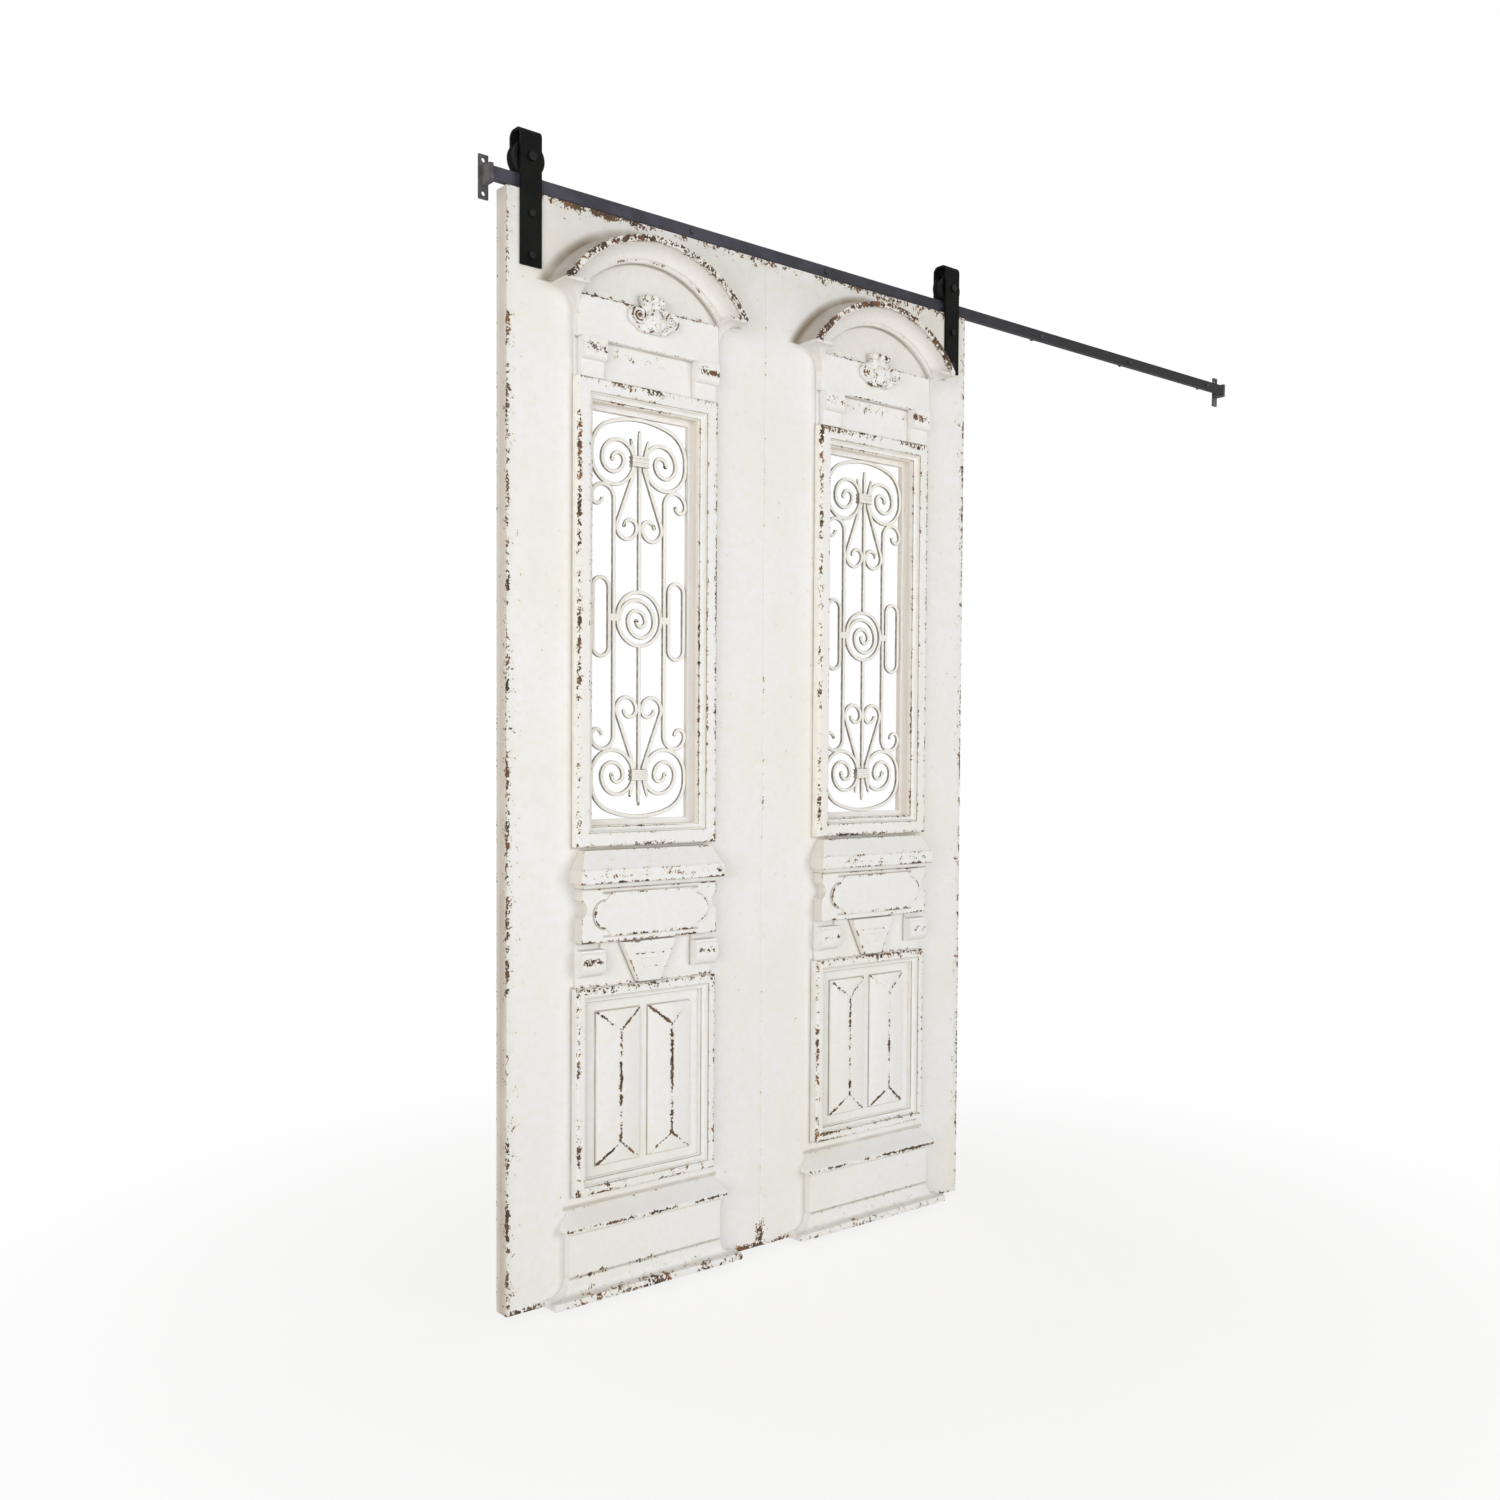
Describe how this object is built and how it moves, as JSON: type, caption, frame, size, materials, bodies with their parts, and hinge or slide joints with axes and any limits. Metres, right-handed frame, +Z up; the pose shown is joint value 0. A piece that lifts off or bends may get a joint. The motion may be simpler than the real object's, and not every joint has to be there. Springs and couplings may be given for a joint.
{
  "type": "sliding door",
  "caption": "Panelled sliding door with arched hoods and scrolled iron window grilles, hung by strap hangers and grooved wheels from a flat rail on the wall.",
  "frame": {"origin": "middle of the four wall screws, on the wall plane at the middle of the rail", "axes": "+X to the right along the rail, +Y into the wall, +Z up"},
  "size_m": [2.466, 0.105, 2.2492],
  "materials": {
    "white_wood": "old off-white paint, chipped to dark wood at edges",
    "white_iron": "old off-white paint on wrought iron",
    "rail_steel": "dark grey satin",
    "black_steel": "black satin",
    "bush_bronze": "plain bearing bronze",
    "bare_wood": "bare beech"
  },
  "bodies": {
    "track": {"rail": "rail_steel", "left_wall_bracket": "rail_steel", "right_wall_bracket": "rail_steel", "rail_spacers": "rail_steel", "rail_bolts": "black_steel"},
    "door": {"left_hanger": "black_steel", "right_hanger": "black_steel", "left_axle": "black_steel", "right_axle": "black_steel", "axle_nuts": "black_steel", "hanger_bolts": "black_steel", "hanger_nuts": "black_steel", "seam_dowels": "bare_wood", "left_slab": "white_wood", "left_hood": "white_wood", "left_flares": "white_wood", "left_medallion": "white_wood", "left_frieze": "white_wood", "left_brackets": "white_wood", "left_window_frame": "white_wood", "left_grille": "white_iron", "left_sill": "white_wood", "left_tablet": "white_wood", "left_plaque": "white_wood", "left_apron": "white_wood", "left_keystone": "white_wood", "left_corbels": "white_wood", "left_panel_frame": "white_wood", "left_panels": "white_wood", "left_plinth_cap": "white_wood", "left_plinth": "white_wood", "left_plinth_base": "white_wood", "right_slab": "white_wood", "right_hood": "white_wood", "right_flares": "white_wood", "right_medallion": "white_wood", "right_frieze": "white_wood", "right_brackets": "white_wood", "right_window_frame": "white_wood", "right_grille": "white_iron", "right_sill": "white_wood", "right_tablet": "white_wood", "right_plaque": "white_wood", "right_apron": "white_wood", "right_keystone": "white_wood", "right_corbels": "white_wood", "right_panel_frame": "white_wood", "right_panels": "white_wood", "right_plinth_cap": "white_wood", "right_plinth": "white_wood", "right_plinth_base": "white_wood"},
    "left_wheel": {"left_wheel": "black_steel", "left_bush": "bush_bronze"},
    "right_wheel": {"right_wheel": "black_steel", "right_bush": "bush_bronze"}
  },
  "joints": [
    {"name": "door_slide", "type": "slide", "parent": "track", "child": "door", "axis": [1, 0, 0], "range_m": [-0.047, 1.171]},
    {"name": "left_wheel_spin", "type": "hinge", "parent": "door", "child": "left_wheel", "pos_m": [-1.147, -0.029, 0.0427], "axis": [0, 1, 0], "range_deg": [-95, 2245]},
    {"name": "right_wheel_spin", "type": "hinge", "parent": "door", "child": "right_wheel", "pos_m": [0.023, -0.029, 0.0427], "axis": [0, 1, 0], "range_deg": [-95, 2245]}
  ],
  "couplings": [
    {"joint": "left_wheel_spin", "follows": "door_slide", "rad_per_m": 33.333},
    {"joint": "right_wheel_spin", "follows": "door_slide", "rad_per_m": 33.333}
  ]
}
